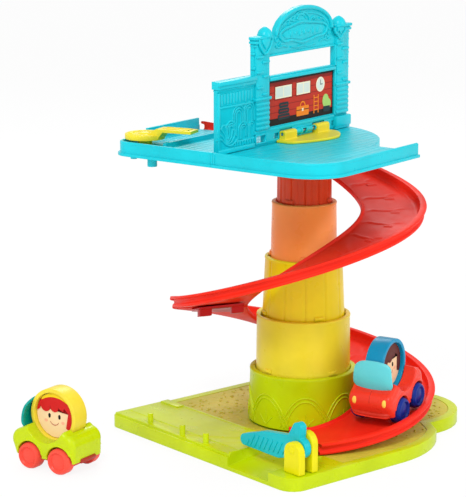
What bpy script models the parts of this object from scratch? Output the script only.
"""Pop-up toy garage: base tray, telescoping tower, spiral ramp in two mouldings, top deck with a
fold-down facade, a barrier gate and two small cars. Metres, +Z up, origin on the tower axis at the
surface that the base stands on. +X runs along the base's front edge, +Y away from it."""

import math

import bmesh
import bpy
from mathutils import Matrix, Vector

# Clearances
GAP = 0.0003
SLIDE_GAP = 0.0004

# Base tray
BASE_LEFT = -0.122
BASE_RIGHT = 0.136
BASE_FRONT = -0.135
BASE_HEIGHT = 0.012
BASE_WALL = 0.0026
BASE_CORNER = 0.016
TRACK_DEPTH = 0.067
TRACK_RISE = 0.002
LOBE_CENTRE = (0.036, 0.090)
LOBE_RADIUS = 0.058
BACK_LOBE_CENTRE = (-0.040, 0.080)
BACK_LOBE_RADIUS = 0.062
COVER_THICKNESS = 0.0025
SCREW_RADIUS = 0.003
SCREW_INSET = 0.022
PANEL_THICKNESS = 0.0012
PANEL_INSET = 0.009
PEG_RADIUS = 0.0028
PEG_HEIGHT = 0.009
PEG_FROM_FRONT = 0.008
PEG_XS = (-0.072, -0.024, 0.010)
FENCE_X = 0.047
FENCE_LENGTH = 0.026
FENCE_TOP = 0.0158
FENCE_THICKNESS = 0.003
LANE_RIGHT = 0.105
LANE_TOP_Y = -0.075
LANE_END_Z = 0.0035

# Tower: the fixed sleeve, then four stages from the bottom up
SLEEVE_TOP = 0.062
SLEEVE_RADIUS = 0.050
SLEEVE_FLARE = 0.0015
STAGE_RISE = (0.052, 0.055, 0.052, 0.0532)
STAGE_TOP_INSET = (0.0062, 0.0138, 0.0200, 0.0250)
STAGE_FOOT_INSET = (0.0055, 0.0108, 0.0188, 0.0244)
STAGE_TOP_RADIUS = [SLEEVE_RADIUS - inset for inset in STAGE_TOP_INSET]
STAGE_FOOT_RADIUS = [SLEEVE_RADIUS - inset for inset in STAGE_FOOT_INSET]
STAGE_OVERLAP = 0.010
STAGE_WALL = 0.0022
COLLAR_HEIGHT = 0.003
FLUTE_DEPTH = 0.0010
FLUTE_COUNT = 32
NOTCH_WIDTH = 0.009
NOTCH_DEPTH = 0.003

# Deck, in its own frame, which is turned from the base
DECK_TURN = math.radians(13.5)
DECK_LEFT = -0.120
DECK_RIGHT = 0.109
DECK_FRONT = -0.131
DECK_LIP_Z = 0.270
DECK_FLOOR_Z = 0.2775
DECK_RIM_Z = 0.282
DECK_PLATE = 0.003
RIM_WALL = 0.003
LIP_WIDTH = 0.002
LIP_HEIGHT = 0.0026
DECK_CORNER = 0.035
DECK_LEFT_CORNER = 0.014
SEAM_X = -0.008
HUB_RADIUS = 0.050
STRIP_LEFT = -0.030
FLOOR_EDGE_Y = 0.010
GUARD_END_Y = 0.022
DECK_LOBE_CENTRE = (-0.037, -0.012)
DECK_LOBE_RADIUS = 0.107
SPIGOT_HEIGHT = 0.011
SPIGOT_WALL = 0.003
SIDE_WALL_RISE = 0.0064
DIVIDER_X = -0.078
DIVIDER_RISE = 0.0045
DIVIDER_THICKNESS = 0.003
UNDER_PEG_AT = (-0.085, -0.119)
UNDER_PEG_RADIUS = 0.0045
UNDER_PEG_DROP = 0.0135
UNDER_BUMP_AT = (-0.104, -0.122)
UNDER_BUMP_RADIUS = 0.003
UNDER_BUMP_DROP = 0.008

# Facade, standing on the deck
FACADE_FRONT_X = -0.012
FACADE_THICKNESS = 0.0038
FACADE_LEFT_Y = -0.1185
FACADE_RIGHT_Y = 0.0880
PILLAR_WIDTH = 0.0225
LEFT_PILLAR_Y = -0.0640
WING_TOP_Z = 0.3425
PILLAR_TOP_Z = 0.376
ARCH_TOP_Z = 0.400
ARCH_Y = (-0.0318, 0.0619)
WINDOW_Z = (0.340, 0.358)
WINDOW_MARGIN = 0.001
PICTURE_Z = (0.2935, 0.335)
PICTURE_DEPTH = 0.002
PICTURE_THICKNESS = 0.0014
FINIAL_RADIUS = 0.0065
FINIAL_RISE = 0.0008
FINIAL_SET_BACK = 0.0012
FINIAL_YS = (-0.0454, 0.0741)
PILLAR_PROUD = 0.0022
CROWN_HEIGHT = 0.006
HINGE_X = -0.0083
HINGE_Z = 0.2852
PIN_RADIUS = 0.0013
KNUCKLE_RADIUS = 0.0030
HINGE_PLATE_THICKNESS = 0.0025
HINGE_PLATE_EDGE = (
    (0.0010, -0.0290),
    (0.0060, -0.0270),
    (0.0115, -0.0170),
    (0.0160, -0.0050),
    (0.0195, 0.0080),
    (0.0205, 0.0200),
    (0.0185, 0.0300),
    (0.0135, 0.0395),
    (0.0065, 0.0480),
    (0.0000, 0.0520),
)
LEFT_TAB_Y = (-0.0250, -0.0057)
RIGHT_TAB_Y = (0.0283, 0.0475)
RAIL_SLOT_Y = -0.0548
RAIL_SLOT_WIDTH = 0.0135
RAIL_SLOT_Z = (0.2815, 0.2875)
KNUCKLE_Y = (0.0032, 0.0132)
HINGE_SLEEVE_RADIUS = 0.0024

# Deck lever
LEVER_AT = (-0.102, -0.108)
LEVER_TOP_Z = 0.288
LEVER_DISC_RADIUS = 0.0184
LEVER_THICKNESS = 0.0042
LEVER_ARM_ANGLE = math.radians(12)
LEVER_ARM_WIDTH = 0.016
LEVER_ARM_REACH = 0.050
LEVER_ARM_RISE = 0.0060
LEVER_ARM_THICKNESS = 0.0028
LEVER_PIN_RADIUS = 0.0025
LEVER_POST_RADIUS = 0.0065

# Ramp: a channel that runs clockwise, seen from above, as it descends
RAMP_START = 183.0
UPPER_END = -125.0
EXIT_OUTER = -394.0
EXIT_INNER = -416.0
RAMP_TOP_Z = 0.2770
RAMP_JOINT_Z = 0.1235
JOINT_STEP = 0.0012
RAMP_BULGE = 0.0135
BULGE_FROM = 99.0
LOWER_STEADY = 0.5
RAMP_CLEARANCE = 0.001
RAMP_INNER = SLEEVE_RADIUS + SLEEVE_FLARE + RAMP_CLEARANCE
RAMP_OUTER_TOP = 0.110
RAMP_MOUTH = 0.0065
RAMP_MOUTH_SHARE = 0.12
RAMP_OUTER_JOINT = 0.1255
RAMP_OUTER_EXIT = 0.1245
RAMP_FLOOR = 0.0025
RAMP_WALL = 0.0020
RAMP_WALL_HEIGHT = 0.0085
RAMP_FLANGE = 0.0045
RAMP_INNER_LIP = 0.0028
RAMP_STEP = 7.0
CLIP_ANGLES = (-107.0, -131.0)
CLIP_INSET = 0.0075
CLIP_WIDTH = 0.045
CLIP_RADII = (RAMP_INNER + CLIP_INSET, RAMP_INNER + CLIP_INSET + CLIP_WIDTH)
CLIP_THICKNESS = 0.0022
HOOK_WIDTH = 0.012
HOOK_DROP = 0.0055
HOOK_SPAN = 4.0

# Gate
GATE_X = 0.122
GATE_Z = 0.034
GATE_Y = -0.1115
GATE_THICKNESS = 0.007
GATE_HUB_RADIUS = 0.0095
GATE_ARM_TIP_X = 0.044
GATE_TIP_RADIUS = 0.0055
GATE_KNOB_RADIUS = 0.0058
GATE_PIN_RADIUS = 0.0018
POST_THICKNESS = 0.007
POST_WIDTH = 0.020
LEFT_POST_TOP = 0.041
RIGHT_POST_TOP = 0.048
GATE_SIDE_GAP = 0.0006

# Cars
CAR_REAR = -0.031
CAR_FRONT = 0.038
CAR_HALF_WIDTH = 0.0225
CAR_SKIRT_Z = 0.0110
CAR_FLOOR_Z = 0.0145
CHASSIS_Z = 0.0072
CHASSIS_HALF_WIDTH = 0.0132
CHASSIS_ENDS = (-0.026, 0.030)
WHEEL_RADIUS = 0.012
WHEEL_WIDTH = 0.011
WHEEL_INNER_Y = 0.0145
WHEELBASE = 0.033
ARCH_CLEARANCE = 0.0016
AXLE_RADIUS = 0.0015
AXLE_GAP = 0.00025
RING_RADIUS = 0.025
RING_INNER = 0.0212
RING_HALF_WIDTH = 0.009
RING_Z = 0.048
DISC_HALF_WIDTH = 0.005
SHIELD_CENTRE = (-0.001, 0.044)
SHIELD_RADIUS = 0.0295
RED_CAR_RADIUS = 0.0885
RED_CAR_ANGLE = 22.5
RED_CAR_HEADING = math.radians(-70)
RED_CAR_PITCH = math.radians(10.8)
RED_CAR_FLOAT = 0.0011
LIME_CAR_AT = (-0.058, -0.241)
LIME_CAR_HEADING = math.radians(196.5)

ROUND_STEPS = 48


def clear_scene():
    for item in list(bpy.data.objects):
        bpy.data.objects.remove(item, do_unlink=True)


def material(name, colour, roughness=0.35):
    made = bpy.data.materials.new(name)
    made.use_nodes = True
    shader = made.node_tree.nodes["Principled BSDF"]
    shader.inputs["Base Color"].default_value = (*colour, 1.0)
    shader.inputs["Roughness"].default_value = roughness
    return made


# Outlines
def arc(centre, radius, start, end, steps):
    """Points on an arc, angles in degrees."""
    points = []
    for i in range(steps + 1):
        angle = math.radians(start + (end - start) * i / steps)
        x = centre[0] + radius * math.cos(angle)
        y = centre[1] + radius * math.sin(angle)
        points.append((x, y))
    return points


def circle(centre, radius, steps=ROUND_STEPS):
    return arc(centre, radius, 0, 360, steps)[:-1]


def rectangle(x0, y0, x1, y1):
    return [(x0, y0), (x1, y0), (x1, y1), (x0, y1)]


def shifted(outline, distance):
    """The closed anticlockwise outline moved outwards by distance, or inwards where it is negative."""
    moved = []
    for i, point in enumerate(outline):
        before = Vector(outline[i - 1])
        here = Vector(point)
        after = Vector(outline[(i + 1) % len(outline)])
        first = (here - before).normalized()
        second = (after - here).normalized()
        normal = Vector((first.y + second.y, -first.x - second.x)).normalized()
        spread = max(normal.dot(Vector((first.y, -first.x))), 0.35)
        moved.append(tuple(here + normal * (distance / spread)))
    return moved


# Solids
def finish(name, bm, surface, frame=None, location=(0, 0, 0), smooth=True):
    """A mesh object from bm, whose coordinates are in the frame; its origin goes to location."""
    bmesh.ops.translate(bm, verts=bm.verts, vec=-Vector(location))
    bmesh.ops.recalc_face_normals(bm, faces=bm.faces)
    mesh = bpy.data.meshes.new(name)
    bm.to_mesh(mesh)
    bm.free()
    made = bpy.data.objects.new(name, mesh)
    made.location = location
    made.parent = frame
    bpy.context.collection.objects.link(made)
    if surface:
        mesh.materials.append(surface)
    if smooth:
        mesh.shade_smooth()
        mesh.set_sharp_from_angle(angle=math.radians(32))
    return made


def prism_mesh(outline, low, high, turn=None):
    """An extruded outline; turn is a matrix that stands it up."""
    bm = bmesh.new()
    face = bm.faces.new([bm.verts.new((x, y, low)) for x, y in outline])
    sides = bmesh.ops.extrude_face_region(bm, geom=[face])["geom"]
    top = [v for v in sides if isinstance(v, bmesh.types.BMVert)]
    bmesh.ops.translate(bm, verts=top, vec=(0, 0, high - low))
    if turn:
        bmesh.ops.transform(bm, matrix=turn, verts=bm.verts)
    return bm


# Turns an outline drawn as (across, up) into a wall: across goes to X or Y, up to Z
UP_ALONG_X = Matrix(((1, 0, 0, 0), (0, 0, -1, 0), (0, 1, 0, 0), (0, 0, 0, 1)))
UP_ALONG_Y = Matrix(((0, 0, 1, 0), (1, 0, 0, 0), (0, 1, 0, 0), (0, 0, 0, 1)))


def prism(name, outline, low, high, surface=None, frame=None, location=(0, 0, 0), turn=None):
    return finish(name, prism_mesh(outline, low, high, turn), surface, frame, location)


def ball(name, centre, radius, surface=None, frame=None, steps=12):
    bm = bmesh.new()
    bmesh.ops.create_uvsphere(bm, u_segments=steps, v_segments=steps // 2, radius=radius)
    bmesh.ops.translate(bm, verts=bm.verts, vec=centre)
    return finish(name, bm, surface, frame)


def helper(item):
    item.hide_render = True
    item.display_type = "WIRE"
    return item


def combine(target, other, operation):
    step = target.modifiers.new(other.name, "BOOLEAN")
    step.operation = operation
    step.object = helper(other)
    step.solver = "EXACT"
    return target


def cut(target, other):
    return combine(target, other, "DIFFERENCE")


def join(target, other):
    return combine(target, other, "UNION")


def ringed(name, section, surface, frame=None, location=(0, 0, 0), steps=ROUND_STEPS, flutes=0):
    """A closed section of (radius, z, fluted) turned about Z; fluted points ripple by FLUTE_DEPTH."""
    bm = bmesh.new()
    rings = []
    count = flutes * 2 if flutes else steps
    for radius, z, fluted in section:
        ring = []
        for i in range(count):
            angle = 2 * math.pi * i / count
            reach = radius - (FLUTE_DEPTH if fluted and i % 2 else 0)
            ring.append(bm.verts.new((reach * math.cos(angle), reach * math.sin(angle), z)))
        rings.append(ring)
    for below, above in zip(rings, rings[1:] + rings[:1]):
        for i in range(count):
            after = (i + 1) % count
            bm.faces.new((below[i], below[after], above[after], above[i]))
    return finish(name, bm, surface, frame, location)


def rod(name, start, end, radius, surface=None, frame=None, location=(0, 0, 0), steps=16):
    start = Vector(start)
    along = Vector(end) - start
    bm = bmesh.new()
    bmesh.ops.create_cone(
        bm, cap_ends=True, segments=steps, radius1=radius, radius2=radius, depth=along.length
    )
    turn = along.to_track_quat("Z", "Y").to_matrix().to_4x4()
    middle = Matrix.Translation(start + along / 2)
    bmesh.ops.transform(bm, matrix=middle @ turn, verts=bm.verts)
    return finish(name, bm, surface, frame, location)


# Base
def base_outline():
    corner = BASE_CORNER
    outline = arc((BASE_RIGHT - corner, BASE_FRONT + corner), corner, -90, 0, 5)
    outline += arc((BASE_RIGHT - 0.105, 0), 0.105, 0, 40, 6)
    outline += arc(LOBE_CENTRE, LOBE_RADIUS, -12, 112, 12)
    outline += arc(BACK_LOBE_CENTRE, BACK_LOBE_RADIUS, 72, 150, 7)
    outline += arc((BASE_LEFT + 0.02, 0.06), 0.02, 140, 180, 3)
    outline += arc((BASE_LEFT + 0.006, BASE_FRONT + 0.006), 0.006, 180, 270, 3)
    return outline


def make_base(colours):
    lime = colours["lime"]
    outline = base_outline()
    tray = prism("base_tray", outline, 0, BASE_HEIGHT, lime)
    inner = shifted(outline, -BASE_WALL)
    cut(tray, prism("tray_hollow", inner, -0.01, BASE_HEIGHT - BASE_WALL))

    front = BASE_FRONT + BASE_WALL
    track_top = BASE_HEIGHT + TRACK_RISE
    track = rectangle(
        BASE_LEFT + BASE_WALL, front, FENCE_X + FENCE_THICKNESS, BASE_FRONT + TRACK_DEPTH
    )
    join(tray, prism("track_strip", track, BASE_HEIGHT - 0.001, track_top))
    for i, x in enumerate(PEG_XS):
        y = BASE_FRONT + PEG_FROM_FRONT
        at = (x, y, track_top - 0.001)
        join(tray, rod(f"peg_{i}", at, (x, y, track_top + PEG_HEIGHT), PEG_RADIUS, steps=10))
    fence_y = BASE_FRONT + 0.004
    fence = rectangle(FENCE_X, fence_y, FENCE_X + FENCE_THICKNESS, fence_y + FENCE_LENGTH)
    join(tray, prism("fence", fence, track_top - 0.0012, FENCE_TOP))

    lane_left = FENCE_X + FENCE_THICKNESS
    lane_back = LANE_TOP_Y + BASE_WALL
    block = (lane_left - BASE_WALL, BASE_FRONT + 0.0005, LANE_RIGHT + BASE_WALL, lane_back)
    join(tray, prism("lane_block", rectangle(*block), 0, BASE_HEIGHT - 0.0005))
    fall = (BASE_HEIGHT - LANE_END_Z) / (LANE_TOP_Y - BASE_FRONT)
    beyond = 0.01
    wedge = [(LANE_TOP_Y + beyond, BASE_HEIGHT + fall * beyond)]
    wedge += [(LANE_TOP_Y + beyond, 0.05), (BASE_FRONT - beyond, 0.05)]
    wedge += [(BASE_FRONT - beyond, LANE_END_Z - fall * beyond)]
    cut(tray, prism("lane_cut", wedge, lane_left, LANE_RIGHT, turn=UP_ALONG_Y))

    panel = panel_outline()
    pocket = shifted(panel, GAP)
    cut(tray, prism("panel_pocket", pocket, BASE_HEIGHT - PANEL_THICKNESS, BASE_HEIGHT + 0.0005))
    ground = prism(
        "ground_panel", panel, BASE_HEIGHT - PANEL_THICKNESS + GAP, BASE_HEIGHT - GAP, colours["tan"]
    )
    foot = SLEEVE_RADIUS + SLEEVE_FLARE + GAP
    cut(ground, prism("sleeve_clearance", circle((0, 0), foot), 0, 0.03))

    cover = prism("bottom_cover", shifted(inner, -GAP), 0, COVER_THICKNESS, colours["lime_dark"])
    room = (block[0] - GAP, block[1] - 0.01, block[2] + GAP, block[3] + GAP)
    cut(cover, prism("lane_room", rectangle(*room), -0.01, 0.01))
    corners = screw_places()
    for i, (x, y) in enumerate(corners):
        hole = circle((x, y), SCREW_RADIUS + GAP, 16)
        cut(cover, prism(f"screw_hole_{i}", hole, -0.01, 0.01))
        boss = circle((x, y), SCREW_RADIUS + 0.003, 16)
        high = BASE_HEIGHT - BASE_WALL + 0.001
        join(tray, prism(f"screw_boss_{i}", boss, COVER_THICKNESS + GAP, high))
        rod(
            f"base_screw_{i + 1}",
            (x, y, 0.0008),
            (x, y, COVER_THICKNESS),
            SCREW_RADIUS,
            colours["steel"],
        )
    return tray


def screw_places():
    left = BASE_LEFT + SCREW_INSET
    right = BASE_RIGHT - SCREW_INSET
    front = BASE_FRONT + SCREW_INSET
    return [(left, front), (right, front), (left, 0.05), (0.05, 0.12)]


def panel_outline():
    """The textured ground: the tray's outline drawn in, behind the track strip."""
    low = BASE_FRONT + TRACK_DEPTH + 0.002
    inside = [p for p in shifted(base_outline(), -PANEL_INSET) if p[1] > low]
    return [(BASE_LEFT + PANEL_INSET, low), (BASE_RIGHT - PANEL_INSET, low)] + inside


# Tower
def stage_section(foot_z, top_z, foot_radius, top_radius, outer_inner, fluted, collar_inner):
    """A stage's wall with a flange at its foot and an inward collar at its top."""
    flange = outer_inner - SLIDE_GAP
    inner_foot = foot_radius - STAGE_WALL
    inner_top = top_radius - STAGE_WALL
    return [
        (flange, foot_z, False),
        (flange, foot_z + COLLAR_HEIGHT, False),
        (foot_radius, foot_z + COLLAR_HEIGHT, fluted),
        (top_radius, top_z, fluted),
        (collar_inner, top_z, False),
        (collar_inner, top_z - COLLAR_HEIGHT, False),
        (inner_top - FLUTE_DEPTH, top_z - COLLAR_HEIGHT, False),
        (inner_foot - FLUTE_DEPTH, foot_z, False),
    ]


def make_tower(colours):
    sleeve_foot = BASE_HEIGHT + GAP
    bore = SLEEVE_RADIUS - STAGE_WALL - FLUTE_DEPTH
    collar = STAGE_FOOT_RADIUS[0] + SLIDE_GAP
    section = [
        (SLEEVE_RADIUS + SLEEVE_FLARE, sleeve_foot, False),
        (SLEEVE_RADIUS, SLEEVE_TOP, False),
        (collar, SLEEVE_TOP, False),
        (collar, SLEEVE_TOP - COLLAR_HEIGHT, False),
        (bore, SLEEVE_TOP - COLLAR_HEIGHT, False),
        (bore, sleeve_foot, False),
    ]
    sleeve = ringed("tower_sleeve", section, colours["lime"])
    notch_rim(sleeve, SLEEVE_RADIUS, SLEEVE_TOP)

    names = ("stage_1", "stage_2", "stage_3", "stage_4")
    paints = ("golden", "yellow", "orange", "vermilion")
    rim = SLEEVE_TOP
    stages = []
    for i, name in enumerate(names):
        foot = rim - COLLAR_HEIGHT - GAP - STAGE_OVERLAP
        top = rim + STAGE_RISE[i]
        fluted = i in (1, 3)
        last = i == len(names) - 1
        inside = STAGE_TOP_RADIUS[i] - STAGE_WALL - FLUTE_DEPTH
        next_collar = inside - 0.0005 if last else STAGE_FOOT_RADIUS[i + 1] + SLIDE_GAP
        if last:
            top = DECK_FLOOR_Z - DECK_PLATE - GAP
        section = stage_section(
            foot, top, STAGE_FOOT_RADIUS[i], STAGE_TOP_RADIUS[i], bore, fluted, next_collar
        )
        stage = ringed(
            name, section, colours[paints[i]], flutes=FLUTE_COUNT if fluted else 0
        )
        if not last:
            notch_rim(stage, STAGE_TOP_RADIUS[i], top)
        stages.append(stage)
        bore = inside
        rim = top
    return stages


def notch_rim(stage, radius, top):
    """Four shallow lock notches in a rim."""
    for k in range(4):
        angle = math.radians(20 + 90 * k)
        outline = rectangle(radius - 0.0012, -NOTCH_WIDTH / 2, radius + 0.006, NOTCH_WIDTH / 2)
        turn = Matrix.Rotation(angle, 4, "Z")
        bm = prism_mesh(outline, top - NOTCH_DEPTH, top + 0.002, turn)
        cut(stage, finish(f"{stage.name}_notch_{k}", bm, None))


# Ramp
def upper_height(angle):
    """The floor's height along the upper ramp, by its angle in degrees."""
    share = (angle - upper_start()) / (UPPER_END - upper_start())
    height = RAMP_TOP_Z + (RAMP_JOINT_Z - RAMP_TOP_Z) * share
    if angle < BULGE_FROM:
        phase = math.pi * (angle - UPPER_END) / (BULGE_FROM - UPPER_END)
        height += RAMP_BULGE * math.sin(phase) ** 2
    return height


def upper_start():
    return RAMP_START + math.degrees(DECK_TURN)


def lower_height(angle):
    """The floor's height along the lower ramp, from the joint down to the level part by the exit."""
    left = max(1 - (angle - UPPER_END) / (EXIT_OUTER - UPPER_END), 0)
    bottom = BASE_HEIGHT + GAP + RAMP_FLOOR
    fall = LOWER_STEADY * left + (1 - LOWER_STEADY) * left**2
    return bottom + (RAMP_JOINT_Z - JOINT_STEP - bottom) * fall


def channel_section(outer):
    """(radius, height above the floor) round the channel's wall, flange and inner lip."""
    wall = outer - RAMP_FLANGE
    lip = RAMP_INNER + RAMP_WALL
    return [
        (RAMP_INNER, -RAMP_FLOOR),
        (wall, -RAMP_FLOOR),
        (wall, RAMP_WALL_HEIGHT - RAMP_WALL),
        (outer, RAMP_WALL_HEIGHT - RAMP_WALL),
        (outer, RAMP_WALL_HEIGHT),
        (wall - RAMP_WALL, RAMP_WALL_HEIGHT),
        (wall - RAMP_WALL, 0),
        (lip, 0),
        (lip, RAMP_INNER_LIP),
        (RAMP_INNER, RAMP_INNER_LIP),
    ]


def channel(name, start, end_inner, end_outer, height_at, outer_at, surface):
    """The ramp's channel swept round Z; its end is cut askew where the two end angles differ."""
    bm = bmesh.new()
    steps = round(abs(end_outer - start) / RAMP_STEP)
    rings = []
    for i in range(steps + 1):
        share = i / steps
        outer = outer_at(share)
        ring = []
        for radius, rise in channel_section(outer):
            along = (radius - RAMP_INNER) / (outer - RAMP_INNER)
            end = end_inner + (end_outer - end_inner) * along
            angle = start + (end - start) * share
            turn = math.radians(angle)
            height = height_at(min(angle, start)) + rise
            ring.append(bm.verts.new((radius * math.cos(turn), radius * math.sin(turn), height)))
        rings.append(ring)
    for before, after in zip(rings, rings[1:]):
        for k in range(len(before)):
            n = (k + 1) % len(before)
            bm.faces.new((before[k], before[n], after[n], after[k]))
    bm.faces.new(rings[0])
    bm.faces.new(rings[-1])
    return finish(name, bm, surface)


def upper_outer(share):
    """The upper ramp's outer radius, which opens out at its mouth beside the deck."""
    mouth = RAMP_MOUTH * max(1 - share / RAMP_MOUTH_SHARE, 0) ** 2
    return RAMP_OUTER_TOP + (RAMP_OUTER_JOINT - RAMP_OUTER_TOP) * share**2 + mouth


def lower_outer(share):
    return RAMP_OUTER_JOINT + (RAMP_OUTER_EXIT - RAMP_OUTER_JOINT) * share


def make_ramps(colours):
    red = colours["red"]
    trim = math.degrees(GAP / RAMP_INNER)
    channel(
        "upper_ramp", upper_start() - trim, UPPER_END, UPPER_END, upper_height, upper_outer, red
    )
    channel(
        "lower_ramp", UPPER_END - trim, EXIT_INNER, EXIT_OUTER, lower_height, lower_outer, red
    )
    make_clip(colours["red_dark"])


def sector(name, radii, angles, thickness, surface=None):
    """A slab under the ramp between two radii and two angles, following the floor's slope."""
    bm = bmesh.new()
    rings = []
    steps = 4
    for i in range(steps + 1):
        angle = angles[0] + (angles[1] - angles[0]) * i / steps
        turn = math.radians(angle)
        top = clip_top(angle)
        ring = []
        for radius, z in (
            (radii[0], top),
            (radii[1], top),
            (radii[1], top - thickness),
            (radii[0], top - thickness),
        ):
            ring.append(bm.verts.new((radius * math.cos(turn), radius * math.sin(turn), z)))
        rings.append(ring)
    for before, after in zip(rings, rings[1:]):
        for k in range(4):
            n = (k + 1) % 4
            bm.faces.new((before[k], before[n], after[n], after[k]))
    bm.faces.new(rings[0])
    bm.faces.new(rings[-1])
    return finish(name, bm, surface)


def make_clip(surface):
    """The bracket under the two ramp ends, with a hook at each side."""
    clip = sector("ramp_clip", CLIP_RADII, CLIP_ANGLES, CLIP_THICKNESS, surface)
    inner = CLIP_RADII[0] + 0.0005
    outer = CLIP_RADII[1] - 0.0005
    start = CLIP_ANGLES[0] - 0.6
    for i, radii in enumerate(((inner, inner + HOOK_WIDTH), (outer - HOOK_WIDTH, outer))):
        hook = sector(f"hook_{i}", radii, (start, start - HOOK_SPAN), CLIP_THICKNESS + HOOK_DROP)
        hook.data.transform(Matrix.Translation((0, 0, -CLIP_THICKNESS / 2)))
        join(clip, hook)


def clip_top(angle):
    """Just below the ramp floor's underside, on the lower of the two mouldings."""
    floor = upper_height(angle) - JOINT_STEP if angle >= UPPER_END else lower_height(angle)
    return floor - RAMP_FLOOR - GAP * 1.5


# Gate
def make_gate(colours):
    x, z, y = GATE_X, GATE_Z, GATE_Y
    half = GATE_THICKNESS / 2
    boss = GATE_HUB_RADIUS
    reach = GATE_X - GATE_ARM_TIP_X
    hub = arc((x, z), boss, -60, 75, 7)
    knob = arc((x - 0.21 * boss, z + 1.79 * boss), GATE_KNOB_RADIUS, 20, 160, 6)
    arm_end = [(x - 1.47 * boss, z + 0.9 * boss), (x - 0.59 * reach, z + 0.47 * boss)]
    tip = arc((GATE_ARM_TIP_X + GATE_TIP_RADIUS, z - boss), GATE_TIP_RADIUS, 95, 250, 6)
    under = [(x - 0.346 * reach, z - 1.63 * boss), (x - 1.68 * boss, z - 1.32 * boss)]
    under += [(x - 1.05 * boss, z - 0.42 * boss)]
    arm = prism(
        "barrier_gate",
        hub + knob + arm_end + tip + under,
        -y - half,
        -y + half,
        colours["teal"],
        None,
        (x, y, z),
        UP_ALONG_X,
    )
    pin_reach = half + GATE_SIDE_GAP + POST_THICKNESS
    bore = GATE_PIN_RADIUS + AXLE_GAP
    cut(arm, rod("gate_bore", (x, y - 0.02, z), (x, y + 0.02, z), bore))
    rod(
        "gate_pin",
        (x, y - pin_reach + 0.001, z),
        (x, y + pin_reach - 0.001, z),
        GATE_PIN_RADIUS,
        colours["steel"],
        None,
        (x, y, z),
    )
    posts = (("gate_post_left", -1, LEFT_POST_TOP), ("gate_post_right", 1, RIGHT_POST_TOP))
    for name, side, top in posts:
        near = y + side * (half + GATE_SIDE_GAP)
        far = near + side * POST_THICKNESS
        round_top = arc((x, top - POST_WIDTH / 2), POST_WIDTH / 2, 0, 180, 8)
        foot = BASE_HEIGHT + GAP
        outline = [(x - POST_WIDTH / 2, foot), (x + POST_WIDTH / 2, foot)] + round_top
        low, high = sorted((-near, -far))
        post = prism(name, outline, low, high, colours["post"], None, (x, y, foot), UP_ALONG_X)
        cut(post, rod(f"{name}_bore", (x, y - 0.02, z), (x, y + 0.02, z), bore))


# Deck
def wing_outline():
    r = DECK_LEFT_CORNER
    seam = SEAM_X - GAP / 2
    hub = HUB_RADIUS + GAP
    meet = math.degrees(math.acos(seam / hub))
    outline = arc((DECK_LEFT + r, DECK_FRONT + r), r, 180, 270, 5)
    outline += [(seam, DECK_FRONT)]
    outline += arc((0, 0), hub, -meet, RAMP_START - 360, 14)
    outline[-1] = (outline[-1][0], wing_back(outline[-1][0]))
    outline += [(DECK_LEFT, wing_back(DECK_LEFT))]
    return outline


def wing_back(x):
    """Where the wing's back edge lies, on the line that the ramp starts from."""
    return x * math.tan(math.radians(RAMP_START - 180)) - GAP


def main_outline():
    r = DECK_CORNER
    seam = SEAM_X + GAP / 2
    meet = math.degrees(math.acos(seam / HUB_RADIUS))
    outline = arc((DECK_RIGHT - r, DECK_FRONT + r), r, -90, 0, 8)
    outline += [(DECK_RIGHT, GUARD_END_Y), (DECK_RIGHT - RIM_WALL, GUARD_END_Y)]
    outline += [(DECK_RIGHT - RIM_WALL, FLOOR_EDGE_Y)]
    low = math.degrees(math.asin((FLOOR_EDGE_Y - DECK_LOBE_CENTRE[1]) / DECK_LOBE_RADIUS))
    high = math.degrees(math.acos((STRIP_LEFT - DECK_LOBE_CENTRE[0]) / DECK_LOBE_RADIUS))
    outline += arc(DECK_LOBE_CENTRE, DECK_LOBE_RADIUS, low, high, 9)
    strip_meet = math.degrees(math.acos(STRIP_LEFT / HUB_RADIUS))
    outline += arc((0, 0), HUB_RADIUS, strip_meet, 360 - meet, 20)
    outline += [(seam, DECK_FRONT)]
    return outline


def rim_band(points):
    """A closed strip that follows an open run of rim points, from just inside the wall outwards."""
    outer = open_shift(points, LIP_WIDTH)
    inner = open_shift(points, -RIM_WALL / 2)
    return outer + inner[::-1]


def open_shift(points, distance):
    moved = []
    for i, point in enumerate(points):
        before = Vector(points[max(i - 1, 0)])
        after = Vector(points[min(i + 1, len(points) - 1)])
        along = (after - before).normalized()
        moved.append((point[0] + along.y * distance, point[1] - along.x * distance))
    return moved


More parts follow.
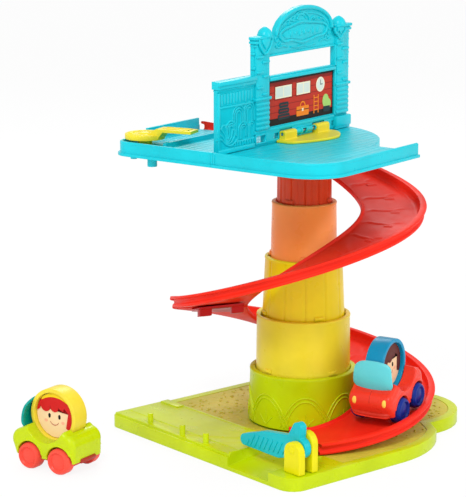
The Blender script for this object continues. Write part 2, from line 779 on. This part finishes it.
def make_deck(colours, frame):
    paint = colours["turquoise"]
    under = DECK_FLOOR_Z - DECK_PLATE
    top = DECK_RIM_Z
    beyond = 0.02

    wing = prism("deck_wing", wing_outline(), DECK_LIP_Z, top, paint, frame)
    r = DECK_LEFT_CORNER
    pocket = arc((DECK_LEFT + r, DECK_FRONT + r), r - RIM_WALL, 180, 270, 5)
    pocket += [(beyond, DECK_FRONT + RIM_WALL), (beyond, beyond), (DECK_LEFT + RIM_WALL, beyond)]
    cut(wing, prism("wing_top_pocket", pocket, DECK_FLOOR_Z, top + 0.01, None, frame))
    inside = shifted(wing_outline(), -RIM_WALL)
    cut(wing, prism("wing_under_pocket", inside, DECK_LIP_Z - 0.01, under, None, frame))
    rim = [(DECK_LEFT, wing_back(DECK_LEFT) - GAP), (DECK_LEFT, -0.05)]
    rim += arc((DECK_LEFT + r, DECK_FRONT + r), r, 180, 270, 5)
    rim += [(SEAM_X - GAP / 2, DECK_FRONT)]
    lip_low = DECK_LIP_Z - 0.0003
    join(wing, prism("wing_lip", rim_band(rim), lip_low, lip_low + LIP_HEIGHT, None, frame))
    back = wing_back(DECK_LEFT) - GAP
    side = rectangle(DECK_LEFT + 0.0004, -0.085, DECK_LEFT + RIM_WALL - 0.0003, back)
    join(wing, prism("side_wall", side, top - 0.002, top + SIDE_WALL_RISE, None, frame))
    back = wing_back(DIVIDER_X) - GAP
    divider = rectangle(DIVIDER_X, -0.112, DIVIDER_X + DIVIDER_THICKNESS, back)
    low = DECK_FLOOR_Z - 0.001
    join(wing, prism("divider", divider, low, DECK_FLOOR_Z + DIVIDER_RISE, None, frame))
    for name, at, radius, drop in (
        ("under_peg", UNDER_PEG_AT, UNDER_PEG_RADIUS, UNDER_PEG_DROP),
        ("under_bump", UNDER_BUMP_AT, UNDER_BUMP_RADIUS, UNDER_BUMP_DROP),
    ):
        peg = rod(name, (*at, under - drop), (*at, under + 0.001), radius, None, frame, steps=12)
        join(wing, peg)
    x, y = LEVER_AT
    cut(
        wing,
        rod("lever_hole", (x, y, under - 0.01), (x, y, top), LEVER_PIN_RADIUS + GAP, None, frame),
    )

    deck = prism("deck_main", main_outline(), DECK_LIP_Z, top, paint, frame)
    r = DECK_CORNER
    pocket = arc((DECK_RIGHT - r, DECK_FRONT + r), r - RIM_WALL, -90, 0, 8)
    past_back = DECK_LOBE_CENTRE[1] + DECK_LOBE_RADIUS + beyond
    past_left = -HUB_RADIUS - beyond
    pocket += [(DECK_RIGHT - RIM_WALL, past_back), (past_left, past_back)]
    pocket += [(past_left, DECK_FRONT + RIM_WALL)]
    cut(deck, prism("deck_top_pocket", pocket, DECK_FLOOR_Z, top + 0.01, None, frame))
    inside = under_outline()
    cut(deck, prism("deck_under_pocket", inside, DECK_LIP_Z - 0.01, under, None, frame))
    rim = [(SEAM_X + GAP / 2, DECK_FRONT)]
    rim += arc((DECK_RIGHT - r, DECK_FRONT + r), r, -90, 0, 8)
    rim += [(DECK_RIGHT, GUARD_END_Y)]
    join(deck, prism("deck_lip", rim_band(rim), lip_low, lip_low + LIP_HEIGHT, None, frame))
    bore = STAGE_TOP_RADIUS[3] - STAGE_WALL - FLUTE_DEPTH - 0.0005 - GAP
    section = [
        (bore, under - SPIGOT_HEIGHT, False),
        (bore, under + 0.001, False),
        (bore - SPIGOT_WALL, under + 0.001, False),
        (bore - SPIGOT_WALL, under - SPIGOT_HEIGHT, False),
    ]
    join(deck, ringed("spigot", section, None, frame, steps=32))


def under_outline():
    """The hollow under the main deck: its outline drawn in, without the thin guard."""
    wall = RIM_WALL
    return [
        p
        for p in shifted(main_outline(), -wall)
        if not (p[0] > DECK_RIGHT - 2.5 * wall and p[1] > FLOOR_EDGE_Y - 2 * wall)
    ]


# Facade
def facade_outline():
    low = DECK_FLOOR_Z + GAP
    left = FACADE_LEFT_Y
    middle = (ARCH_Y[0] + ARCH_Y[1]) / 2
    reach = (ARCH_Y[1] - ARCH_Y[0]) / 2
    rise = ARCH_TOP_Z - PILLAR_TOP_Z
    outline = [(left, low), (FACADE_RIGHT_Y, low), (FACADE_RIGHT_Y, PILLAR_TOP_Z)]
    for i in range(13):
        angle = math.pi * i / 12
        across = middle + reach * math.cos(angle)
        outline.append((across, PILLAR_TOP_Z + rise * math.sin(angle)))
    outline += [(LEFT_PILLAR_Y, PILLAR_TOP_Z), (LEFT_PILLAR_Y, WING_TOP_Z)]
    outline += arc((left + 0.004, WING_TOP_Z - 0.004), 0.004, 90, 180, 3)
    return outline


def make_facade(colours, frame):
    paint = colours["turquoise"]
    front = FACADE_FRONT_X
    back = front - FACADE_THICKNESS
    origin = (HINGE_X, 0, HINGE_Z)
    wall = prism("facade_wall", facade_outline(), back, front, paint, frame, origin, UP_ALONG_Y)

    arch_left = LEFT_PILLAR_Y + PILLAR_WIDTH
    arch_right = FACADE_RIGHT_Y - PILLAR_WIDTH
    window = rectangle(
        arch_left + WINDOW_MARGIN, WINDOW_Z[0], arch_right - WINDOW_MARGIN, WINDOW_Z[1]
    )
    cut(wall, prism("window", window, -0.1, 0.1, None, frame, turn=UP_ALONG_Y))
    picture = rectangle(
        arch_left + WINDOW_MARGIN, PICTURE_Z[0], arch_right - WINDOW_MARGIN, PICTURE_Z[1]
    )
    deep = front - PICTURE_DEPTH
    cut(wall, prism("picture_recess", picture, deep, 0.01, None, frame, turn=UP_ALONG_Y))
    card = shifted(picture, -GAP)
    prism(
        "picture_panel",
        card,
        deep + GAP,
        deep + GAP + PICTURE_THICKNESS,
        colours["picture"],
        frame,
        origin,
        UP_ALONG_Y,
    )

    for i, low_y in enumerate((LEFT_PILLAR_Y, FACADE_RIGHT_Y - PILLAR_WIDTH)):
        inset = 0.0012
        pillar = rectangle(
            low_y + inset, PICTURE_Z[0], low_y + PILLAR_WIDTH - inset, PILLAR_TOP_Z - 0.002
        )
        proud = front + PILLAR_PROUD
        join(wall, prism(f"pillar_{i}", pillar, front - 0.001, proud, None, frame, turn=UP_ALONG_Y))
        centre = (front - FINIAL_SET_BACK, FINIAL_YS[i], PILLAR_TOP_Z + FINIAL_RISE)
        join(wall, ball(f"finial_{i}", centre, FINIAL_RADIUS, None, frame))
    crown = rectangle(
        FACADE_LEFT_Y - 0.0015, WING_TOP_Z - CROWN_HEIGHT, LEFT_PILLAR_Y + 0.004, WING_TOP_Z + 0.0008
    )
    join(
        wall,
        prism("crown", crown, back - 0.001, front + 0.002, None, frame, turn=UP_ALONG_Y),
    )

    low, high = RAIL_SLOT_Z
    half = RAIL_SLOT_WIDTH / 2
    slot = rectangle(RAIL_SLOT_Y - half, low, RAIL_SLOT_Y + half, high)
    cut(wall, prism("rail_slot", slot, -0.1, 0.1, None, frame, turn=UP_ALONG_Y))

    # Hinge: two tabs on the deck plate, a knuckle with a sleeve on the wall, one pin through all
    reach = (LEFT_TAB_Y[0] - 0.0005, RIGHT_TAB_Y[1] + 0.0005)
    knuckle = knuckle_outline(front - 0.002)
    first, last = KNUCKLE_Y
    join(wall, prism("knuckle", knuckle, -last, -first, None, frame, turn=UP_ALONG_X))
    ends = [(HINGE_X, y, HINGE_Z) for y in (LEFT_TAB_Y[1] + GAP, RIGHT_TAB_Y[0] - GAP)]
    join(wall, rod("hinge_sleeve", *ends, HINGE_SLEEVE_RADIUS, None, frame))
    hole = PIN_RADIUS + AXLE_GAP
    bore = rod("knuckle_bore", (HINGE_X, -0.1, HINGE_Z), (HINGE_X, 0.1, HINGE_Z), hole, None, frame)
    cut(wall, bore)
    rod(
        "facade_pin",
        (HINGE_X, reach[0] + 0.001, HINGE_Z),
        (HINGE_X, reach[1] - 0.001, HINGE_Z),
        PIN_RADIUS,
        colours["steel"],
        frame,
        origin,
    )
    make_bracket(colours["golden"], frame, hole)


def knuckle_outline(back_x):
    """A rounded ear about the pin, drawn as (x, z), whose back runs to back_x."""
    low = HINGE_Z - KNUCKLE_RADIUS
    nose = arc((HINGE_X, HINGE_Z), KNUCKLE_RADIUS, -90, 90, 6)
    return [(back_x, low)] + nose + [(back_x, HINGE_Z + KNUCKLE_RADIUS)]


def make_bracket(surface, frame, hole):
    low = DECK_FLOOR_Z + GAP
    high = low + HINGE_PLATE_THICKNESS
    back = FACADE_FRONT_X + GAP
    plate = list(HINGE_PLATE_EDGE)
    plate += [(back, HINGE_PLATE_EDGE[-1][1]), (back, HINGE_PLATE_EDGE[0][1])]
    bracket = prism("hinge_bracket", plate, low, high, surface, frame)
    # The wall's front passes the tabs' backs as it folds, so they stay inside its swing
    nose = HINGE_X - FACADE_FRONT_X - GAP
    tab_front = HINGE_X + nose + 0.0006
    tab_top = HINGE_Z + nose
    for i, (start, end) in enumerate((LEFT_TAB_Y, RIGHT_TAB_Y)):
        outline = [(back + 0.0002, high - 0.001), (tab_front, high - 0.001)]
        outline += [(tab_front, tab_top - 0.0020), (tab_front - 0.0007, tab_top - 0.0007)]
        outline += [(tab_front - 0.0020, tab_top)]
        outline += arc((HINGE_X, HINGE_Z), nose, 80, 150, 5)
        tab = prism(f"tab_{i}", outline, -end, -start, None, frame, turn=UP_ALONG_X)
        join(bracket, tab)
    cut(
        bracket,
        rod("tab_bore", (HINGE_X, -0.1, HINGE_Z), (HINGE_X, 0.1, HINGE_Z), hole, None, frame),
    )


# Lever on the deck: a disc, and an arm that steps up from it
def make_lever(colours):
    low = LEVER_TOP_Z - LEVER_THICKNESS
    high = LEVER_TOP_Z + LEVER_ARM_RISE
    under = high - LEVER_ARM_THICKNESS
    place = Matrix.Rotation(DECK_TURN, 4, "Z") @ Vector((*LEVER_AT, 0))
    frame = frame_at("lever_frame", place, DECK_TURN + LEVER_ARM_ANGLE)
    origin = (0, 0, low)
    outline = circle((0, 0), LEVER_DISC_RADIUS, 32)
    disc = prism("deck_lever", outline, low, LEVER_TOP_Z, colours["golden"], frame, origin)
    arm = [
        (0.005, low + 0.0008),
        (0.0165, low + 0.0008),
        (0.0215, under),
        (LEVER_ARM_REACH, under),
        (LEVER_ARM_REACH, high),
        (0.015, high),
        (0.005, LEVER_TOP_Z - 0.0006),
    ]
    half = LEVER_ARM_WIDTH / 2
    join(disc, prism("lever_arm", arm, -half, half, None, frame, turn=UP_ALONG_X))
    foot = DECK_FLOOR_Z + GAP
    join(disc, rod("lever_post", (0, 0, foot), (0, 0, low + 0.001), LEVER_POST_RADIUS, None, frame))
    bore = LEVER_PIN_RADIUS + AXLE_GAP
    cut(disc, rod("lever_bore", (0, 0, 0.2), (0, 0, 0.4), bore, None, frame))
    rod(
        "lever_pin",
        (0, 0, DECK_FLOOR_Z - DECK_PLATE),
        (0, 0, LEVER_TOP_Z - 0.0005),
        LEVER_PIN_RADIUS,
        colours["steel"],
        frame,
        origin,
    )


# Cars, each modelled about its own frame: x forward, y to its left, z up from the wheels' contact
def car_outline():
    """The side view of a car body, with the round bay that the ring shows through."""
    nose = 0.010
    bay = RING_INNER + 0.0005
    rear_top = 0.036
    nose_z = 0.025
    edge_z = 0.040
    outline = [(CAR_REAR + 0.004, CAR_SKIRT_Z), (CAR_FRONT - 0.005, CAR_SKIRT_Z)]
    outline += arc((CAR_FRONT - nose, nose_z), nose, -25, 80, 6)
    dip = math.degrees(math.asin((RING_Z - edge_z) / bay))
    outline += arc((0, RING_Z), bay, -dip, dip - 180, 12)
    outline += arc((CAR_REAR + nose, rear_top - nose), nose, 95, 195, 6)
    return outline


def shield_outline():
    """The windscreen's side view, a curved strip close against the ring."""
    outer = arc(SHIELD_CENTRE, SHIELD_RADIUS, -18, 37, 8)
    inner = arc((0, RING_Z), RING_RADIUS + GAP, 36, -30, 8)
    return outer + inner


def make_car(prefix, frame, colours, paints):
    body = prism(
        f"{prefix}_car_body",
        car_outline(),
        -CAR_HALF_WIDTH,
        CAR_HALF_WIDTH,
        colours[paints["body"]],
        frame,
        turn=UP_ALONG_X,
    )
    half = RING_HALF_WIDTH + GAP
    slot = circle((0, RING_Z), RING_RADIUS + GAP, 40)
    cut(body, prism(f"{prefix}_ring_slot", slot, -half, half, None, frame, turn=UP_ALONG_X))
    shield_slot = shifted(shield_outline(), GAP)
    wide = CAR_HALF_WIDTH - 0.0015
    cut(
        body,
        prism(
            f"{prefix}_shield_slot", shield_slot, -wide - GAP, wide + GAP, None, frame, turn=UP_ALONG_X
        ),
    )
    prism(
        f"{prefix}_windshield",
        shield_outline(),
        -wide,
        wide,
        colours[paints["shield"]],
        frame,
        turn=UP_ALONG_X,
    )
    chassis_y = CHASSIS_HALF_WIDTH
    box = rectangle(CHASSIS_ENDS[0], -chassis_y, CHASSIS_ENDS[1], chassis_y)
    cut(body, prism(f"{prefix}_pocket", shifted(box, GAP), -0.01, CAR_FLOOR_Z, None, frame))
    chassis = prism(
        f"{prefix}_chassis", box, CHASSIS_Z, CAR_FLOOR_Z - GAP, colours[paints["wheel"]], frame
    )
    for end, x in (("front", WHEELBASE / 2), ("rear", -WHEELBASE / 2)):
        centre = (x, 0, WHEEL_RADIUS)
        bore = AXLE_RADIUS + AXLE_GAP
        low = (x, -0.03, WHEEL_RADIUS)
        high = (x, 0.03, WHEEL_RADIUS)
        cut(chassis, rod(f"{prefix}_{end}_bearing", low, high, bore, None, frame, steps=12))
        reach = WHEEL_INNER_Y + WHEEL_WIDTH * 0.6
        rod(
            f"{prefix}_{end}_axle",
            (x, -reach, WHEEL_RADIUS),
            (x, reach, WHEEL_RADIUS),
            AXLE_RADIUS,
            colours["steel"],
            frame,
            centre,
            steps=12,
        )
        for side, sign in (("left", 1), ("right", -1)):
            arch = circle((x, WHEEL_RADIUS), WHEEL_RADIUS + ARCH_CLEARANCE, 24)
            low, high = sorted((-sign * CHASSIS_HALF_WIDTH, -sign * 0.03))
            name = f"{prefix}_{end}_{side}_arch"
            cut(body, prism(name, arch, low, high, None, frame, turn=UP_ALONG_X))
            make_wheel(f"{prefix}_{end}_{side}_wheel", centre, sign, colours[paints["wheel"]], frame)

    half = RING_HALF_WIDTH
    upright = Matrix.Rotation(math.radians(90), 4, "X")
    section = [
        (RING_RADIUS, -half, False),
        (RING_RADIUS, half, False),
        (RING_INNER, half, False),
        (RING_INNER, -half, False),
    ]
    ring = ringed(f"{prefix}_ring", section, colours[paints["ring"]], frame, steps=40)
    ring.data.transform(upright)
    ring.location = (0, 0, RING_Z)
    disc = prism(
        f"{prefix}_driver_disc",
        circle((0, 0), RING_INNER - GAP, 40),
        -DISC_HALF_WIDTH,
        DISC_HALF_WIDTH,
        colours["skin"],
        frame,
    )
    disc.data.transform(upright)
    disc.location = (0, 0, RING_Z)


def make_wheel(name, centre, sign, surface, frame):
    """A dished wheel with a blind bore on its inner side."""
    inner = WHEEL_INNER_Y
    outer = inner + WHEEL_WIDTH
    bore = AXLE_RADIUS + AXLE_GAP
    face = WHEEL_RADIUS * 0.86
    bm = bmesh.new()
    section = [
        (bore, inner + WHEEL_WIDTH * 0.62),
        (bore, inner),
        (WHEEL_RADIUS - 0.0008, inner),
        (WHEEL_RADIUS, inner + 0.0010),
        (WHEEL_RADIUS, outer - 0.0035),
        (face, outer),
        (face * 0.72, outer - 0.0005),
        (face * 0.62, outer - 0.0016),
    ]
    count = 24
    rings = []
    for radius, along in section:
        ring = []
        for i in range(count):
            angle = 2 * math.pi * i / count
            at = (radius * math.cos(angle), sign * along, radius * math.sin(angle) + WHEEL_RADIUS)
            ring.append(bm.verts.new((at[0] + centre[0], at[1], at[2])))
        rings.append(ring)
    for below, above in zip(rings, rings[1:]):
        for i in range(count):
            after = (i + 1) % count
            bm.faces.new((below[i], below[after], above[after], above[i]))
    bm.faces.new(rings[0])
    bm.faces.new(rings[-1])
    finish(name, bm, surface, frame, centre)


def frame_at(name, place, heading, pitch=0.0):
    made = bpy.data.objects.new(name, None)
    made.matrix_world = (
        Matrix.Translation(place)
        @ Matrix.Rotation(heading, 4, "Z")
        @ Matrix.Rotation(pitch, 4, "Y")
    )
    bpy.context.collection.objects.link(made)
    return made


def main():
    clear_scene()
    colours = {
        "lime": material("lime plastic", (0.48, 0.62, 0.0)),
        "lime_dark": material("lime underside", (0.40, 0.52, 0.0), 0.5),
        "tan": material("tan ground", (0.52, 0.44, 0.09), 0.6),
        "golden": material("golden plastic", (0.78, 0.58, 0.02)),
        "yellow": material("yellow plastic", (0.76, 0.56, 0.01)),
        "orange": material("orange plastic", (0.91, 0.22, 0.04)),
        "vermilion": material("vermilion plastic", (0.60, 0.08, 0.02)),
        "red": material("red plastic", (0.84, 0.03, 0.02)),
        "red_dark": material("dark red plastic", (0.55, 0.01, 0.01)),
        "turquoise": material("turquoise plastic", (0.01, 0.55, 0.68)),
        "teal": material("teal plastic", (0.0, 0.47, 0.52)),
        "post": material("yellow post", (0.68, 0.60, 0.0)),
        "picture": material("printed card", (0.50, 0.03, 0.01)),
        "steel": material("steel", (0.5, 0.5, 0.5), 0.3),
        "blue": material("blue plastic", (0.0, 0.26, 0.45)),
        "navy": material("navy plastic", (0.0, 0.02, 0.22)),
        "coral": material("coral plastic", (0.86, 0.06, 0.03)),
        "shield_blue": material("pale blue plastic", (0.11, 0.60, 0.68)),
        "shield_teal": material("deep teal plastic", (0.0, 0.30, 0.26)),
        "skin": material("printed disc", (0.82, 0.58, 0.30)),
    }
    make_base(colours)
    make_tower(colours)
    make_ramps(colours)
    make_gate(colours)
    deck = frame_at("deck_frame", (0, 0, 0), DECK_TURN)
    make_deck(colours, deck)
    make_facade(colours, deck)
    make_lever(colours)

    angle = math.radians(RED_CAR_ANGLE)
    height = lower_height(RED_CAR_ANGLE - 360) + RED_CAR_FLOAT
    place = (RED_CAR_RADIUS * math.cos(angle), RED_CAR_RADIUS * math.sin(angle), height)
    red_frame = frame_at("red_car_frame", place, RED_CAR_HEADING, RED_CAR_PITCH)
    paints = {"body": "red", "shield": "shield_blue", "wheel": "navy", "ring": "blue"}
    make_car("red", red_frame, colours, paints)
    lime_frame = frame_at("lime_car_frame", (*LIME_CAR_AT, 0), LIME_CAR_HEADING)
    paints = {"body": "lime", "shield": "shield_teal", "wheel": "coral", "ring": "golden"}
    make_car("lime", lime_frame, colours, paints)


main()
